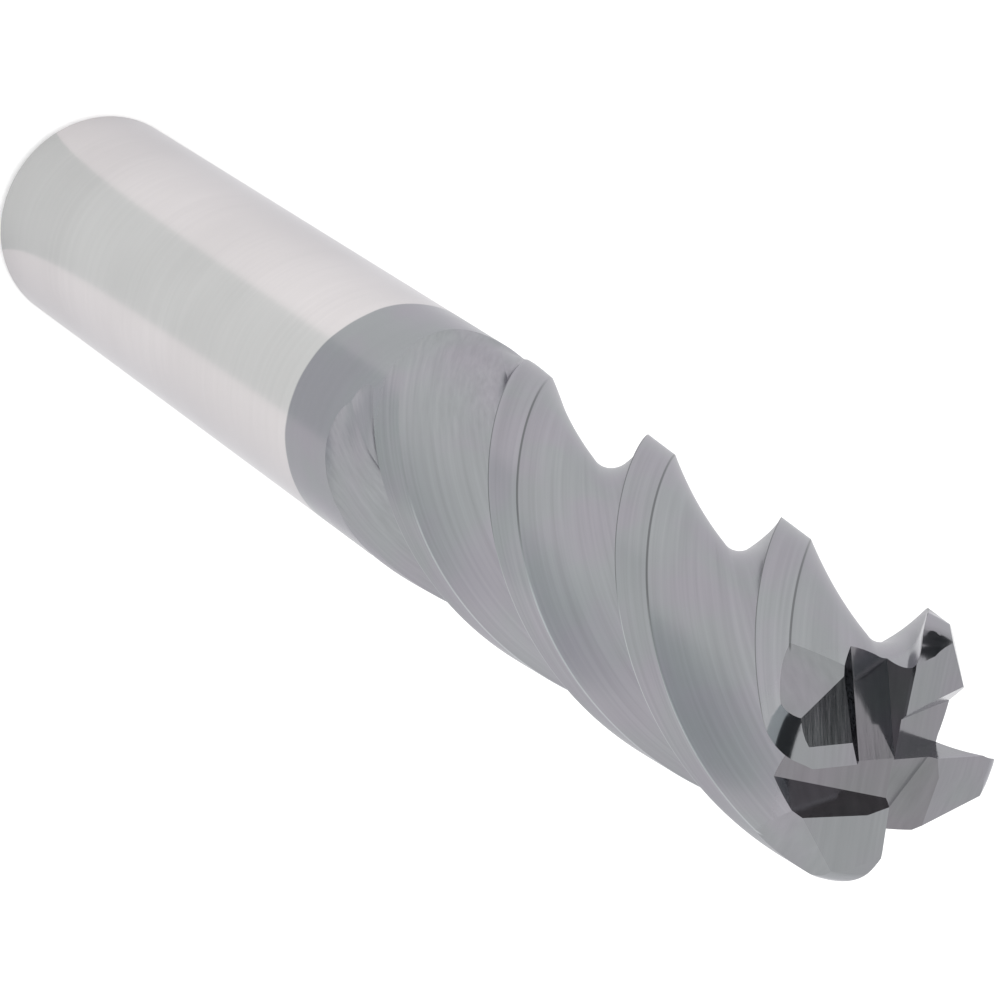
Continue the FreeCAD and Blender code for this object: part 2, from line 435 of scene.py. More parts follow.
@dataclass
class EndCutters:
    """What is ground off the cutting end for the first tooth; the tree repeats it for the others."""

    sizes: ToolSizes
    overlap: float = 0.02 * MM
    past_axis: float = 0.6 * MM
    clearance: float = 2.0 * MM
    height_above: float = 3.0 * MM

    def gash(self) -> bpy.types.Object:
        """The notch in front of the tooth: steep wall, sloping floor and far wall."""
        s = self.sizes
        reach = 2 * s.radius
        lean = math.tan(math.radians(s.gash_lean))
        slope = math.tan(math.radians(s.gash_wall))
        drop = reach * math.tan(math.radians(s.gash_fall))
        rise = drop + s.gash_offset + self.clearance
        near, low = -drop * lean, -drop - s.gash_offset
        out = Vector((reach, 0, s.length))
        corners = [
            out + Vector((0, near, low)),
            out + Vector((0, near + s.gash_floor, low)),
            out + Vector((0, near + s.gash_floor + rise * slope, rise + low)),
            out + Vector((0, near + rise * lean, rise + low)),
        ]
        return prism("gash", corners, Vector((-reach - self.past_axis, drop * lean, drop)), Cut.GASH)

    def end_relief(self) -> bpy.types.Object:
        """The two planes behind the end cutting edge, begun a hair before the axis."""
        s = self.sizes
        reach, flat = s.radius + self.clearance, s.radius - s.corner_radius
        dish = math.tan(math.radians(s.dish))
        land_fall = s.end_land_width * math.tan(math.radians(s.end_land_fall))
        clear_fall = (reach - s.end_land_width) * math.tan(math.radians(s.end_clearance))
        start = Vector((-self.overlap, 0, s.length - (flat + self.overlap) * dish))
        corners = [
            start,
            start + Vector((0, -s.end_land_width, -land_fall)),
            start + Vector((0, -reach, -land_fall - clear_fall)),
            start + Vector((0, -reach, self.height_above)),
            start + Vector((0, 0, self.height_above)),
        ]
        return prism("end_relief", corners, Vector((reach, 0, reach * dish)), Cut.END_RELIEF)

    def corner_relief(self) -> bpy.types.Object:
        """The plane behind the rounded corner's cutting edge."""
        s = self.sizes
        half = math.sqrt(0.5)
        lean = math.tan(math.radians(s.corner_land_fall))
        inset = s.corner_radius * (1 - half)
        middle = Vector((s.radius - inset, 0, s.length - inset))
        middle.y = -middle.x * math.sin(math.tau * inset / s.lead)
        outward, along, back = Vector((half, 0, half)), Vector((half, 0, -half)), Vector((0, -1, 0))
        width = 0.6 * s.radius
        corners = [
            middle,
            middle + back * width - outward * (width * lean),
            middle + back * width + outward * s.corner_radius,
            middle + outward * s.corner_radius,
        ]
        shifted = [p - along * (2.5 * s.corner_radius) for p in corners]
        return prism("corner_relief", shifted, along * (5 * s.corner_radius), Cut.CORNER_RELIEF)

    def heel_relief(self) -> bpy.types.Object:
        """The steep plane between the end relief and the flute."""
        s = self.sizes
        steep, turn = math.radians(s.heel_fall), -s.heel_heading
        heading, across = at(1.0, turn).to_3d(), at(1.2 * s.radius, turn + 90.0).to_3d()
        fall = heading * math.cos(steep) - Vector((0, 0, math.sin(steep)))
        crest = heading * s.heel_distance + Vector((0, 0, s.length))
        above, below = crest - fall * self.height_above, crest + fall * s.radius
        outline = [above, below, Vector((below.x, below.y, above.z))]
        return prism("heel_relief", outline, across, Cut.HEEL_RELIEF)


@dataclass
class EndMill:
    """The whole tool: a rod with its flutes, gashes and reliefs ground into it."""

    sizes: ToolSizes = field(default_factory=ToolSizes)
    crease_limit: float = 16.0

    def flute_geometry(self, tree: GeometryTree, outline: bpy.types.NodeSocket) -> bpy.types.NodeSocket:
        """Sweeps the flute's outline along the tool, turning it with the helix.

        Args:
            tree: The tree to add to.
            outline: The object that holds the outline.

        Returns:
            The closed cutter's geometry.
        """
        s = self.sizes
        length = tree.add_input("Length", "Float", s.length)
        lead = tree.add_input("Helix Lead", "Float", s.lead)
        start = tree.add_input("Run-out Start", "Float", s.runout_start)
        nose = tree.add_input("Run-out Nose", "Float", s.runout_nose)
        run = tree.add_input("Run-out Length", "Float", s.runout_length)
        depth = tree.add_input("Run-out Depth", "Float", s.runout_depth)
        rows = tree.add_input("Rows", "Int", FluteCutter.rows)
        source = tree.node("GeometryNodeObjectInfo", Object=outline)
        profile = tree.node("GeometryNodeMeshToCurve", Mesh=source.outputs["Geometry"])
        low = tree.math("SUBTRACT", start, tree.math("MULTIPLY", nose, 0.4))
        high = tree.math("ADD", length, FluteCutter.overrun)
        foot, head = tree.node("ShaderNodeCombineXYZ", Z=low), tree.node("ShaderNodeCombineXYZ", Z=high)
        line = tree.node("GeometryNodeCurvePrimitiveLine", Start=foot.outputs[0], End=head.outputs[0])
        path = tree.node("GeometryNodeResampleCurve", Curve=line.outputs[0], Count=rows)
        swept = tree.node("GeometryNodeCurveToMesh", Curve=path.outputs[0])
        tree.feed(swept, "Profile Curve", profile.outputs[0])
        tree.feed(swept, "Fill Caps", True)
        place = tree.node("GeometryNodeInputPosition")
        height = tree.node("ShaderNodeSeparateXYZ", Vector=place.outputs[0]).outputs["Z"]
        leads = tree.math("DIVIDE", tree.math("SUBTRACT", height, length), lead)
        twist = tree.math("MULTIPLY", leads, math.tau)
        lack = tree.math("SUBTRACT", tree.math("ADD", start, nose), height)
        rest = tree.math("MAXIMUM", tree.math("DIVIDE", lack, nose), 0.0)
        lift = tree.math("MULTIPLY", depth, tree.math("MULTIPLY", rest, rest))
        begun = tree.math("ADD", start, tree.math("MULTIPLY", nose, 0.5))
        ease = tree.node("ShaderNodeMapRange", interpolation_type="SMOOTHSTEP", Value=height, clamp=True)
        tree.feed(ease, "From Min", begun)
        tree.feed(ease, "From Max", tree.math("ADD", start, run))
        share = ease.outputs[0]
        radius = tree.mix(share, tree.attribute("shallow_radius"), tree.attribute("deep_radius"))
        radius = tree.math("ADD", radius, lift)
        turn = tree.mix(share, tree.attribute("shallow_turn"), tree.attribute("deep_turn"))
        turn = tree.math("ADD", turn, twist)
        spot = tree.node(
            "ShaderNodeCombineXYZ",
            X=tree.math("MULTIPLY", radius, tree.math("COSINE", turn)),
            Y=tree.math("MULTIPLY", radius, tree.math("SINE", turn)),
            Z=height,
        )
        placed = tree.node("GeometryNodeSetPosition", Geometry=swept.outputs[0], Position=spot.outputs[0])
        outwards = tree.node("GeometryNodeFlipFaces", Mesh=placed.outputs[0])
        marked = tree.node("GeometryNodeStoreNamedAttribute", domain="FACE", data_type="FLOAT")
        tree.feed(marked, "Geometry", outwards.outputs[0])
        tree.feed(marked, "Name", "cut")
        tree.feed(marked, "Value", float(Cut.FLUTE.value))
        return marked.outputs[0]

    def around(
        self, tree: GeometryTree, body: bpy.types.NodeSocket,
        cutter: bpy.types.NodeSocket, count: bpy.types.NodeSocket,
    ) -> bpy.types.NodeSocket:
        """Cuts the cutter from the body once for each tooth.

        Args:
            tree: The tree to add to.
            body: What is cut.
            cutter: What it is cut with, at the first tooth.
            count: How many teeth there are.

        Returns:
            The cut body's geometry.
        """
        begin = tree.tree.nodes.new("GeometryNodeRepeatInput")
        finish = tree.tree.nodes.new("GeometryNodeRepeatOutput")
        begin.pair_with_output(finish)
        tree.feed(begin, "Iterations", count)
        tree.feed(begin, "Geometry", body)
        step = tree.math("MULTIPLY", begin.outputs["Iteration"], tree.math("DIVIDE", math.tau, count))
        angles = tree.node("ShaderNodeCombineXYZ", Z=step)
        turned = tree.node("GeometryNodeTransform", Geometry=cutter, Rotation=angles.outputs[0])
        cut = tree.node("GeometryNodeMeshBoolean", operation="DIFFERENCE", solver="EXACT")
        tree.feed(cut, "Mesh 1", begin.outputs["Geometry"])
        tree.feed(cut, "Mesh 2", turned.outputs[0])
        tree.feed(finish, "Geometry", cut.outputs[0])
        return finish.outputs["Geometry"]

    def shade(self, tree: GeometryTree, body: bpy.types.NodeSocket) -> bpy.types.NodeSocket:
        """Makes the rod and flutes smooth, the end's ground planes flat and real edges sharp."""
        crease = tree.add_input("Crease Limit", "Float", math.radians(self.crease_limit))
        bend = tree.node("GeometryNodeInputMeshEdgeAngle").outputs["Unsigned Angle"]
        sharp = tree.node("FunctionNodeCompare", data_type="FLOAT", operation="GREATER_THAN", A=bend)
        tree.feed(sharp, "B", crease)
        edged = tree.node("GeometryNodeSetShadeSmooth", domain="EDGE", Selection=sharp.outputs[0])
        tree.feed(edged, "Geometry", body)
        tree.feed(edged, "Shade Smooth", False)
        curved = tree.math("LESS_THAN", tree.attribute("cut"), Cut.FLUTE.value + 0.5)
        smooth = tree.node("GeometryNodeSetShadeSmooth", domain="FACE", Geometry=edged.outputs[0])
        tree.feed(smooth, "Shade Smooth", curved)
        return smooth.outputs[0]

    def build(self, finishes: dict[Cut, bpy.types.Material]) -> bpy.types.Object:
        """Grinds the tool and dresses it.

        Args:
            finishes: The material that each cut leaves.

        Returns:
            The finished tool, one closed mesh.
        """
        ends = EndCutters(self.sizes)
        flute = FluteCutter(self.sizes).build()
        helpers = {
            "Heel Relief": ends.heel_relief(), "Corner Relief": ends.corner_relief(),
            "Gash": ends.gash(), "End Relief": ends.end_relief(),
        }
        rod = Rod(self.sizes).build()
        tree = GeometryTree("grind_end_mill")
        count = tree.add_input("Flute Count", "Int", self.sizes.flute_count)
        outline = tree.add_input("Flute Outline", "Object", flute)
        body = tree.inputs.outputs["Geometry"]
        body = self.around(tree, body, self.flute_geometry(tree, outline), count)
        for name, helper in helpers.items():
            source = tree.node("GeometryNodeObjectInfo", Object=tree.add_input(name, "Object", helper))
            body = self.around(tree, body, source.outputs["Geometry"], count)
        body = self.shade(tree, body)
        body = tree.node("GeometryNodeRealizeInstances", Geometry=body).outputs[0]
        for cut, finish in finishes.items():
            mark = tree.attribute("cut")
            near = tree.node("FunctionNodeCompare", data_type="FLOAT", operation="EQUAL", A=mark)
            tree.feed(near, "B", float(cut.value))
            tree.feed(near, "Epsilon", 0.5)
            dressed = tree.node("GeometryNodeSetMaterial", Geometry=body, Selection=near.outputs[0])
            tree.feed(dressed, "Material", tree.add_input(f"{cut.name.title()} Finish", "Material", finish))
            body = dressed.outputs[0]
        tree.tree.links.new(body, tree.outputs.inputs["Geometry"])
        mesh = tree.apply_to(rod)
        for helper in (rod, flute, *helpers.values()):
            bpy.data.objects.remove(helper)
        mesh.name = "ground_end_mill"
        tool = bpy.data.objects.new("ground_end_mill", mesh)
        bpy.context.scene.collection.objects.link(tool)
        return tool


class ShaderTree:
    """A material's or group's nodes with short ways to add them."""

    def __init__(self, tree: bpy.types.NodeTree) -> None:
        """Takes an empty node tree."""
        self.tree = tree

    def node(self, kind: str, **settings: object) -> bpy.types.Node:
        """Adds a node and sets its own settings."""
        made = self.tree.nodes.new(kind)
        for key, value in settings.items():
            setattr(made, key, value)
        return made

    def feed(self, socket: bpy.types.NodeSocket, value: object) -> None:
        """Links a socket to an input, or sets it."""
        if isinstance(value, bpy.types.NodeSocket):
            self.tree.links.new(value, socket)
        else:
            socket.default_value = value

    def math(self, operation: str, *values: object, clamp: bool = False) -> bpy.types.NodeSocket:
        """One step of arithmetic on numbers or sockets."""
        made = self.node("ShaderNodeMath", operation=operation, use_clamp=clamp)
        for socket, value in zip(made.inputs, values):
            self.feed(socket, value)
        return made.outputs[0]

    def ramp(self, value: object, low: object, high: object) -> bpy.types.NodeSocket:
        """Nought below the low value, one above the high one, and smooth between."""
        made = self.node("ShaderNodeMapRange", interpolation_type="SMOOTHSTEP")
        for name, given in (("Value", value), ("From Min", low), ("From Max", high)):
            self.feed(made.inputs[name], given)
        return made.outputs[0]

    def blend(self, share: object, first: object, second: object) -> bpy.types.NodeSocket:
        """A colour between two."""
        made = self.node("ShaderNodeMix", data_type="RGBA")
        sockets = [s for s in made.inputs if s.enabled]
        for socket, value in zip(sockets, (share, first, second)):
            self.feed(socket, value)
        return next(s for s in made.outputs if s.enabled)

    def group(self, group: bpy.types.NodeTree, **values: object) -> bpy.types.Node:
        """Places a group and fills its inputs; underscores stand for spaces."""
        made = self.node("ShaderNodeGroup", node_tree=group)
        for key, value in values.items():
            self.feed(made.inputs[key.replace("_", " ")], value)
        return made


class Effects:
    """The surface effects that the tool's finishes share, each built once as a shader node group."""

    def __init__(self, sizes: ToolSizes) -> None:
        """Builds the groups for a tool of those sizes."""
        self.sizes = sizes
        self.unwind = self.make_unwind()
        self.lines = self.make_lines()
        self.mottle = self.make_mottle()
        self.strip = self.make_strip()

    @staticmethod
    def new_group(name: str, inputs: list[tuple[str, str, float]], outputs: list[tuple[str, str]]) -> tuple:
        """An empty group.

        Args:
            name: What it is called.
            inputs: Name, kind and default of each input.
            outputs: Name and kind of each output.

        Returns:
            The group, a helper for its nodes, its input node and its output node.
        """
        group = bpy.data.node_groups.new(name, "ShaderNodeTree")
        for label, kind, value in inputs:
            socket = group.interface.new_socket(label, in_out="INPUT", socket_type=f"NodeSocket{kind}")
            if kind == "Float":
                socket.default_value = value
        for label, kind in outputs:
            group.interface.new_socket(label, in_out="OUTPUT", socket_type=f"NodeSocket{kind}")
        helper = ShaderTree(group)
        return group, helper, helper.node("NodeGroupInput"), helper.node("NodeGroupOutput")

    def make_unwind(self) -> bpy.types.NodeTree:
        """Turns a place back along the helix: what runs along a flute then keeps one place."""
        group, t, given, out = self.new_group(
            "unwind_helix",
            [("Place", "Vector", 0), ("Lead", "Float", 1), ("Length", "Float", 1)],
            [("Place", "Vector")],
        )
        height = t.node("ShaderNodeSeparateXYZ")
        t.feed(height.inputs[0], given.outputs["Place"])
        above = t.math("SUBTRACT", given.outputs["Length"], height.outputs["Z"])
        turn = t.math("MULTIPLY", t.math("DIVIDE", above, given.outputs["Lead"]), math.tau)
        rotate = t.node("ShaderNodeVectorRotate", rotation_type="Z_AXIS")
        t.feed(rotate.inputs["Vector"], given.outputs["Place"])
        t.feed(rotate.inputs["Angle"], turn)
        t.feed(out.inputs["Place"], rotate.outputs[0])
        return group

    def make_lines(self) -> bpy.types.NodeTree:
        """Fine grinding lines: noise drawn out one way, in two widths."""
        group, t, given, out = self.new_group(
            "grinding_lines",
            [
                ("Place", "Vector", 0), ("Stretch", "Vector", 0),
                ("Fineness", "Float", 1000), ("Broad", "Float", 0.3),
            ],
            [("Lines", "Float")],
        )
        scaled = t.node("ShaderNodeVectorMath", operation="MULTIPLY")
        t.feed(scaled.inputs[0], given.outputs["Place"])
        t.feed(scaled.inputs[1], given.outputs["Stretch"])
        layers = []
        for ratio in (1.0, 0.27):
            noise = t.node("ShaderNodeTexNoise", noise_dimensions="3D")
            t.feed(noise.inputs["Vector"], scaled.outputs[0])
            t.feed(noise.inputs["Scale"], t.math("MULTIPLY", given.outputs["Fineness"], ratio))
            t.feed(noise.inputs["Detail"], 3.0)
            layers.append(t.math("SUBTRACT", noise.outputs["Fac"], 0.5))
        broad = t.math("MULTIPLY", layers[1], given.outputs["Broad"])
        t.feed(out.inputs["Lines"], t.math("MULTIPLY", t.math("ADD", layers[0], broad), 2.0))
        return group

    def make_mottle(self) -> bpy.types.NodeTree:
        """Slow patches with soft borders, for faint tints, the ragged split between dark and
        painted-highlight edge lines, and uneven gloss.
        """
        group, t, given, out = self.new_group(
            "soft_mottle",
            [("Place", "Vector", 0), ("Scale", "Float", 100), ("Seed", "Float", 0)],
            [("Patches", "Float")],
        )
        noise = t.node("ShaderNodeTexNoise", noise_dimensions="4D")
        t.feed(noise.inputs["Vector"], given.outputs["Place"])
        t.feed(noise.inputs["W"], given.outputs["Seed"])
        t.feed(noise.inputs["Scale"], given.outputs["Scale"])
        t.feed(noise.inputs["Detail"], 2.0)
        t.feed(out.inputs["Patches"], t.ramp(noise.outputs["Fac"], 0.35, 0.65))
        return group

    def make_strip(self) -> bpy.types.NodeTree:
        """A strip along each tooth, such as its cutting edge or heel, one for each of the four flutes.

        In the unwound cross-section the strips stand a quarter turn apart, so x times y is nought on them.
        """
        group, t, given, out = self.new_group(
            "tooth_strip",
            [
                ("Place", "Vector", 0), ("Turn", "Float", 0), ("Radius", "Float", 0.01),
                ("Width", "Float", 0.2 * MM), ("Depth", "Float", 0.5 * MM),
            ],
            [("Mask", "Float")],
        )
        rotate = t.node("ShaderNodeVectorRotate", rotation_type="Z_AXIS")
        t.feed(rotate.inputs["Vector"], given.outputs["Place"])
        t.feed(rotate.inputs["Angle"], t.math("MULTIPLY", given.outputs["Turn"], -1.0))
        parts = t.node("ShaderNodeSeparateXYZ")
        t.feed(parts.inputs[0], rotate.outputs[0])
        x, y = parts.outputs["X"], parts.outputs["Y"]
        far = t.math("SQRT", t.math("ADD", t.math("MULTIPLY", x, x), t.math("MULTIPLY", y, y)))
        crossing = t.math("ABSOLUTE", t.math("MULTIPLY", x, y))
        aside = t.math("DIVIDE", crossing, t.math("MAXIMUM", far, 0.1 * MM))
        aside = t.math("DIVIDE", aside, given.outputs["Width"])
        below = t.math("DIVIDE", t.math("SUBTRACT", given.outputs["Radius"], far), given.outputs["Depth"])
        gap = t.math("ADD", t.math("MULTIPLY", aside, aside), t.math("MULTIPLY", below, below))
        t.feed(out.inputs["Mask"], t.math("SUBTRACT", 1.0, t.ramp(t.math("SQRT", gap), 0.4, 1.0)))
        return group


@dataclass(frozen=True)
class GroundFinish:
    """One ground and coated surface of the tool."""

    name: str
    grain: Grain
    coat_color: tuple[float, float, float] = (0.289, 0.299, 0.308)
    coat_cast: tuple[float, float, float] = (1.04, 0.97, 1.03)
    bare_color: tuple[float, float, float] = (0.603, 0.577, 0.577)
    edge_tint: tuple[float, float, float] = (0.72, 0.72, 0.74)
    coat_rough: float = 0.3
    end_rough: float = 0.13
    bare_rough: float = 0.2
    line_tone: float = 0.18
    line_rough: float = 0.05
    line_height: float = 0.25
    line_depth: float = 0.01 * MM
    patch_low: float = 0.97
    patch_gain: float = 0.06
    fineness: float = 2600.0
    edge_width: float = 0.13 * MM
    heel_width: float = 0.14 * MM
    strip_depth: float = 0.2 * MM
    # Tone of the tooth lines: dark on one side of the tool, pale elsewhere as a painted edge highlight.
    dark_line_side: float = 149.0
    dark_line_tone: float = 0.5
    edge_highlight_tone: float = 1.5
    border_wave: float = 0.3 * MM
    border_blur: float = 0.12 * MM

    def stretch(self) -> tuple[float, float, float]:
        """How the grinding lines' noise is drawn out."""
        return {
            Grain.AROUND: (0.02, 0.02, 1.0), Grain.HELIX: (1.0, 1.0, 0.02), Grain.RADIAL: (0.05, 1.0, 0.3),
        }[self.grain]

    def coat_tone(self, factors: tuple[float, float, float]) -> tuple[float, float, float, float]:
        """The coating's colour with each channel times its factor."""
        return (*(c * k for c, k in zip(self.coat_color, factors)), 1.0)

    def tooth_lines(
        self, effects: Effects, t: ShaderTree, unwound: object, height: object
    ) -> bpy.types.NodeSocket:
        """Where the thin lines along the cutting edges and heels lie; where pale, they are a painted edge
        highlight.

        Args:
            effects: The shared groups.
            t: The material's nodes.
            unwound: The place, turned back along the helix.
            height: How far up the tool the place is.

        Returns:
            A mask that begins where the flutes are nearly at full depth.
        """
        s = effects.sizes
        edge = t.group(
            effects.strip, Place=unwound, Turn=0.0, Radius=s.radius - s.edge_drop,
            Width=self.edge_width, Depth=self.strip_depth,
        ).outputs[0]
        heel = t.group(
            effects.strip, Place=unwound, Turn=-math.radians(s.land_turn), Radius=s.radius - s.land_drop,
            Width=self.heel_width, Depth=self.strip_depth,
        ).outputs[0]
        begun = t.ramp(height, s.runout_start + 0.6 * s.runout_length, s.runout_start + 1.3 * s.runout_length)
        return t.math("MULTIPLY", t.math("MAXIMUM", edge, heel), begun)

    def dark_line_share(self, effects: Effects, t: ShaderTree, place: object) -> bpy.types.NodeSocket:
        """Where those lines are dark, mostly on one side of the tool; elsewhere they are pale, a painted edge
        highlight.

        Args:
            effects: The shared groups.
            t: The material's nodes.
            place: The place on the tool.

        Returns:
            One for dark, nought for the pale painted highlight.
        """
        turn = math.radians(self.dark_line_side)
        side = t.node("ShaderNodeVectorMath", operation="DOT_PRODUCT")
        t.feed(side.inputs[0], place)
        t.feed(side.inputs[1], (math.cos(turn), math.sin(turn), 0.0))
        patches = t.group(effects.mottle, Place=place, Scale=45.0, Seed=11.0).outputs[0]
        share = t.math("DIVIDE", side.outputs["Value"], effects.sizes.radius)
        return t.ramp(t.math("ADD", share, t.math("MULTIPLY", patches, 0.4)), -0.4, 0.1)

    def coating(
        self, effects: Effects, t: ShaderTree, place: object, unwound: object, height: object
    ) -> bpy.types.NodeSocket:
        """Colours the coating: two casts in soft patches, and the lines along the teeth, pale as a painted
        edge highlight and dark on one side.

        Args:
            effects: The shared groups.
            t: The material's nodes.
            place: The place on the tool.
            unwound: The place, turned back along the helix.
            height: How far up the tool the place is.

        Returns:
            The coating's colour.
        """
        cast = t.group(effects.mottle, Place=place, Scale=160.0, Seed=7.0).outputs[0]
        even = t.blend(cast, self.coat_tone((1.0, 1.0, 1.0)), self.coat_tone(self.coat_cast))
        # Pale tooth lines are a painted highlight along the edges; dark ones lie on one side of the tool.
        pale, dark = (self.coat_tone((tone, tone, tone)) for tone in (self.edge_highlight_tone, self.dark_line_tone))
        lined = t.blend(self.dark_line_share(effects, t, place), pale, dark)
        return t.blend(self.tooth_lines(effects, t, unwound, height), even, lined)

    def coated(
        self, effects: Effects, t: ShaderTree, place: object, height: object
    ) -> bpy.types.NodeSocket:
        """Finds where the coating begins, at a slightly wavy border.

        Args:
            effects: The shared groups.
            t: The material's nodes.
            place: The place on the tool.
            height: How far up the tool the place is.

        Returns:
            One above the border, nought below.
        """
        wave = t.group(effects.mottle, Place=place, Scale=120.0, Seed=3.0).outputs[0]
        border = t.math("MULTIPLY", t.math("SUBTRACT", wave, 0.5), self.border_wave)
        border = t.math("ADD", border, effects.sizes.coating_start)
        return t.ramp(t.math("SUBTRACT", height, border), -self.border_blur, self.border_blur)

    def roughness(
        self, sizes: ToolSizes, t: ShaderTree, height: object, share: object, lines: object
    ) -> bpy.types.NodeSocket:
        """Makes the end teeth smoother, and all of it uneven with the grinding lines.

        Args:
            sizes: The tool's sizes.
            t: The material's nodes.
            height: How far up the tool the place is.
            share: One where it is coated, nought where it is bare.
            lines: The grinding lines.

        Returns:
            The roughness.
        """
        r = sizes.corner_radius
        near_end = t.ramp(height, sizes.length - 1.3 * r, sizes.length - 0.8 * r)
        coat = t.math("ADD", self.coat_rough, t.math("MULTIPLY", near_end, self.end_rough - self.coat_rough))
        above = t.math("MULTIPLY", share, t.math("SUBTRACT", coat, self.bare_rough))
        even = t.math("ADD", self.bare_rough, above)
        return t.math("ADD", even, t.math("MULTIPLY", lines, self.line_rough))

    def build(self, effects: Effects) -> bpy.types.Material:
        """Makes the material.

        Args:
            effects: The shared groups.

        Returns:
            The finished material.
        """
        s = effects.sizes
        material = bpy.data.materials.new(self.name)
        material.use_nodes = True
        t = ShaderTree(material.node_tree)
        shader = material.node_tree.nodes["Principled BSDF"]
        place = t.node("ShaderNodeTexCoord").outputs["Object"]
        parts = t.node("ShaderNodeSeparateXYZ")
        t.feed(parts.inputs[0], place)
        height = parts.outputs["Z"]
        unwound = t.group(effects.unwind, Place=place, Lead=s.lead, Length=s.length).outputs[0]
        along = unwound if self.grain is Grain.HELIX else place
        lines = t.group(effects.lines, Place=along, Stretch=self.stretch(), Fineness=self.fineness).outputs[0]
        share = self.coated(effects, t, place, height)
        color = t.blend(share, (*self.bare_color, 1), self.coating(effects, t, place, unwound, height))
        slow = t.group(effects.mottle, Place=place, Scale=70.0, Seed=1.0).outputs[0]
        tone = t.math("ADD", 1.0, t.math("MULTIPLY", lines, self.line_tone))
        patches = t.math("ADD", self.patch_low, t.math("MULTIPLY", slow, self.patch_gain))
        tone = t.math("MULTIPLY", tone, patches)
        scaled = t.node("ShaderNodeVectorMath", operation="SCALE")
        t.feed(scaled.inputs[0], color)
        t.feed(scaled.inputs["Scale"], tone)
        t.feed(shader.inputs["Base Color"], scaled.outputs[0])
        shader.inputs["Metallic"].default_value = 1.0
        shader.inputs["Specular Tint"].default_value = (*self.edge_tint, 1)
        t.feed(shader.inputs["Roughness"], self.roughness(s, t, height, share, lines))
        bump = t.node("ShaderNodeBump")
        bump.inputs["Strength"].default_value = self.line_height
        bump.inputs["Distance"].default_value = self.line_depth
        t.feed(bump.inputs["Height"], lines)
        t.feed(shader.inputs["Normal"], bump.outputs[0])
        LOG.info("finish %s: %d nodes", material.name, len(material.node_tree.nodes))
        return material


@dataclass(frozen=True)
class Card:
    """A card outside the picture, there for ground steel to mirror."""

    color: tuple[float, float, float]
    glow: float = 0.0

    def corners(self) -> list[Vector]:
        """The card's corners in the studio."""
        raise NotImplementedError

    def build(self, name: str) -> bpy.types.Object:
        """Makes the card, seen only where something mirrors it."""
        mesh = bpy.data.meshes.new(name)
        corners = self.corners()
        mesh.from_pydata([tuple(c) for c in corners], [], [tuple(range(len(corners)))])
        card = bpy.data.objects.new(name, mesh)
        bpy.context.scene.collection.objects.link(card)
        card.visible_camera = False
        card.visible_diffuse = False
        card.visible_shadow = False
        material = bpy.data.materials.new(name)
        material.use_nodes = True
        shader = material.node_tree.nodes["Principled BSDF"]
        shader.inputs["Base Color"].default_value = (*self.color, 1)
        shader.inputs["Emission Color"].default_value = (*self.color, 1)
        shader.inputs["Emission Strength"].default_value = self.glow
        shader.inputs["Roughness"].default_value = 1.0
        mesh.materials.append(material)
        return card


@dataclass(frozen=True)
class HungCard(Card):
    """A card that hangs round the tool's upper half and faces it; angles in degrees."""

    azimuth: float = 0.0
    elevation: float = 0.0
    wide: float = 30.0
    tall: float = 30.0
    distance: float = 0.6
    aim: float = 0.12

    def corners(self) -> list[Vector]:
        """Four corners square to the line of sight from the tool."""
        around, up = math.radians(self.azimuth), math.radians(self.elevation)
        flat = math.cos(up)
        facing = Vector((flat * math.cos(around), flat * math.sin(around), math.sin(up)))
        aside = Vector((-math.sin(around), math.cos(around), 0))
        above = facing.cross(aside)
        w, h = (self.distance * math.tan(math.radians(angle / 2)) for angle in (self.wide, self.tall))
        centre = facing * self.distance + Vector((0, 0, self.aim))
        return [centre + aside * (w * x) + above * (h * y) for x, y in ((-1, -1), (1, -1), (1, 1), (-1, 1))]


@dataclass(frozen=True)
class FloorCard(Card):
    """A wedge of card that lies on the floor with its point under the tool; angles in degrees."""

    begin: float = 0.0
    finish: float = 90.0
    reach: float = 0.1
    thickness: float = 0.0003

    def corners(self) -> list[Vector]:
        """The point under the tool and the two far corners."""
        rim = [at(self.reach, turn).to_3d() for turn in (self.begin, self.finish)]
        return [corner + Vector((0, 0, self.thickness)) for corner in (Vector(), *rim)]


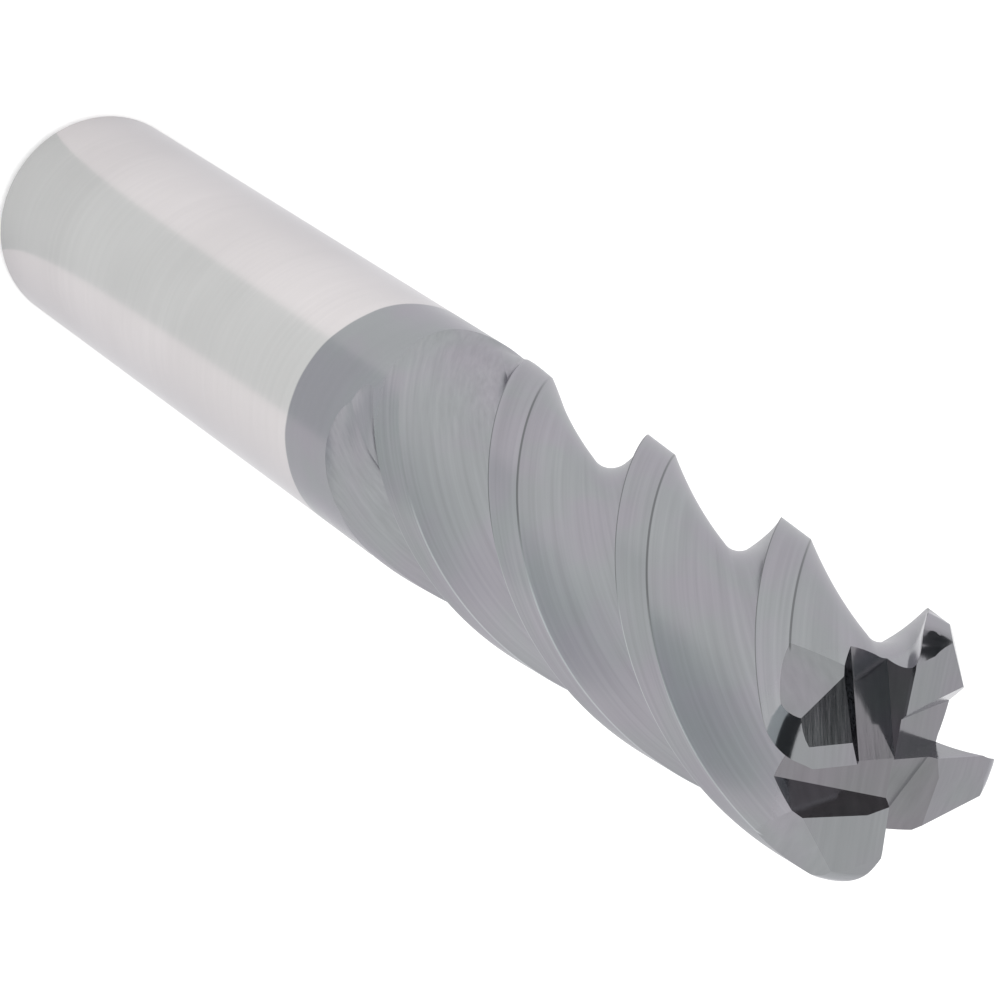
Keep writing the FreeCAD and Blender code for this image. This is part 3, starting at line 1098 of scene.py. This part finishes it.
@dataclass
class Studio:
    """The pale floor, the white surroundings, the cards and the soft lamp."""

    floor_half: float = 4.0
    floor_tone: float = 0.9
    floor_glow: float = 0.3
    world_tone: float = 0.86
    lamp_place: tuple[float, float, float] = (-0.17, -0.29, 1.26)
    lamp_aim: tuple[float, float, float] = (0.0, 0.0, 0.07)
    lamp_size: float = 0.6
    lamp_power: float = 4.0
    cards: tuple[Card, ...] = (
        HungCard(color=(0.05, 0.055, 0.06), azimuth=110.0, elevation=36.0, wide=24.0, tall=30.0),
        HungCard(color=(0.14, 0.13, 0.14), azimuth=183.0, elevation=32.0, wide=26.0, tall=20.0),
        HungCard(
            color=(0.05, 0.055, 0.06), azimuth=272.0, elevation=33.0, wide=50.0, tall=40.0, distance=0.28
        ),
        HungCard(
            color=(0.8, 0.86, 0.88), azimuth=245.0, elevation=8.0, wide=90.0, tall=52.0, distance=0.3
        ),
        HungCard(color=(0.06, 0.065, 0.07), azimuth=125.0, elevation=21.0, wide=18.0, tall=30.0),
        FloorCard(color=(0.815, 0.855, 0.845), glow=0.18, begin=212.0, finish=288.0, reach=0.12),
    )

    @staticmethod
    def seen(t: ShaderTree) -> bpy.types.NodeSocket:
        """1 for what the camera sees, also in polished steel and through glass."""
        path = t.node("ShaderNodeLightPath")
        mirrored = t.math("MAXIMUM", path.outputs["Is Glossy Ray"], path.outputs["Is Transmission Ray"])
        return t.math("MAXIMUM", path.outputs["Is Camera Ray"], mirrored)

    def floor(self) -> bpy.types.Object:
        """The pale floor, white to the camera wherever the tool's shadow does not fall."""
        mesh = bpy.data.meshes.new("floor")
        h = self.floor_half
        mesh.from_pydata([(-h, -h, 0), (h, -h, 0), (h, h, 0), (-h, h, 0)], [], [(0, 1, 2, 3)])
        obj = bpy.data.objects.new("floor", mesh)
        bpy.context.scene.collection.objects.link(obj)
        material = bpy.data.materials.new("pale_floor")
        material.use_nodes = True
        t = ShaderTree(material.node_tree)
        shader = material.node_tree.nodes["Principled BSDF"]
        shader.inputs["Base Color"].default_value = (self.floor_tone, self.floor_tone, self.floor_tone, 1)
        shader.inputs["Roughness"].default_value = 0.8
        shader.inputs["Specular IOR Level"].default_value = 0.0
        shader.inputs["Emission Color"].default_value = (1, 1, 1, 1)
        t.feed(shader.inputs["Emission Strength"], t.math("MULTIPLY", self.seen(t), self.floor_glow))
        mesh.materials.append(material)
        return obj

    def world(self) -> None:
        """Even white surroundings."""
        world = bpy.data.worlds.new("white_surroundings")
        bpy.context.scene.world = world
        world.use_nodes = True
        t = ShaderTree(world.node_tree)
        background = world.node_tree.nodes["Background"]
        tone = t.math("ADD", self.world_tone, t.math("MULTIPLY", self.seen(t), 1.0 - self.world_tone))
        t.feed(background.inputs["Color"], (1, 1, 1, 1))
        t.feed(background.inputs["Strength"], tone)

    def lamp(self, name: str) -> None:
        """A square soft lamp that faces the tool; no facet mirrors it as a white patch."""
        light = bpy.data.lights.new(name, "AREA")
        light.size = self.lamp_size
        light.energy = self.lamp_power
        obj = bpy.data.objects.new(name, light)
        obj.location = self.lamp_place
        obj.visible_glossy = False
        obj.rotation_mode = "QUATERNION"
        facing = Vector(self.lamp_aim) - Vector(self.lamp_place)
        obj.rotation_quaternion = facing.to_track_quat("-Z", "Y")
        bpy.context.scene.collection.objects.link(obj)

    def build(self) -> None:
        """Sets up the studio."""
        self.floor()
        for number, card in enumerate(self.cards, start=1):
            card.build(f"card_{number}")
        self.world()
        self.lamp("key")


@dataclass(frozen=True)
class PhotoCamera:
    """The camera of the photograph: where it stands and how it is turned, for a square picture."""

    place: tuple[float, float, float] = (-0.09545, -0.15985, 0.32979)
    azimuth: float = 59.0
    elevation: float = -53.892
    roll: float = 124.292
    sensor: float = 36.0
    lens: float = 152.14
    nearest: float = 0.01

    def build(self) -> None:
        """Adds the camera and makes it the scene's."""
        camera = bpy.data.cameras.new("camera")
        camera.sensor_width = self.sensor
        camera.lens = self.lens
        obj = bpy.data.objects.new("camera", camera)
        azimuth, elevation = math.radians(self.azimuth), math.radians(self.elevation)
        flat = math.cos(elevation)
        forward = Vector((flat * math.cos(azimuth), flat * math.sin(azimuth), math.sin(elevation)))
        level = forward.to_track_quat("-Z", "Y")
        rolled = Quaternion(forward, -math.radians(self.roll))
        obj.rotation_mode = "QUATERNION"
        obj.rotation_quaternion = rolled @ level
        obj.location = self.place
        camera.clip_start = self.nearest
        bpy.context.scene.collection.objects.link(obj)
        bpy.context.scene.camera = obj


def main() -> None:
    """Builds the tool, its finishes and the studio around it."""
    logging.basicConfig(level=logging.INFO, format="%(message)s")
    sizes = ToolSizes()
    effects = Effects(sizes)
    rod = GroundFinish("ground_rod", Grain.AROUND, coat_rough=0.22, line_tone=0.05).build(effects)
    flute = GroundFinish("coated_flute", Grain.HELIX).build(effects)
    end = GroundFinish("coated_end", Grain.RADIAL, coat_rough=0.13, line_tone=0.12).build(effects)
    # The gash's coat colour is darker than the flute's: painted shade in the notch.
    gash = GroundFinish(
        "coated_gash_painted_shade", Grain.RADIAL, coat_color=(0.225, 0.23, 0.235), coat_rough=0.13, line_tone=0.15
    ).build(effects)
    finishes = {
        Cut.ROD: rod, Cut.FLUTE: flute, Cut.GASH: gash,
        Cut.END_RELIEF: end, Cut.HEEL_RELIEF: end, Cut.CORNER_RELIEF: rod,
    }
    tool = EndMill(sizes).build(finishes)
    LOG.info("%s: %d faces", tool.name, len(tool.data.polygons))
    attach(tool, "root")
    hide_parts("end_mill")
    Studio().build()
    PhotoCamera().build()
    bpy.context.scene.view_settings.view_transform = "Standard"


if __name__ == "__main__":
    main()
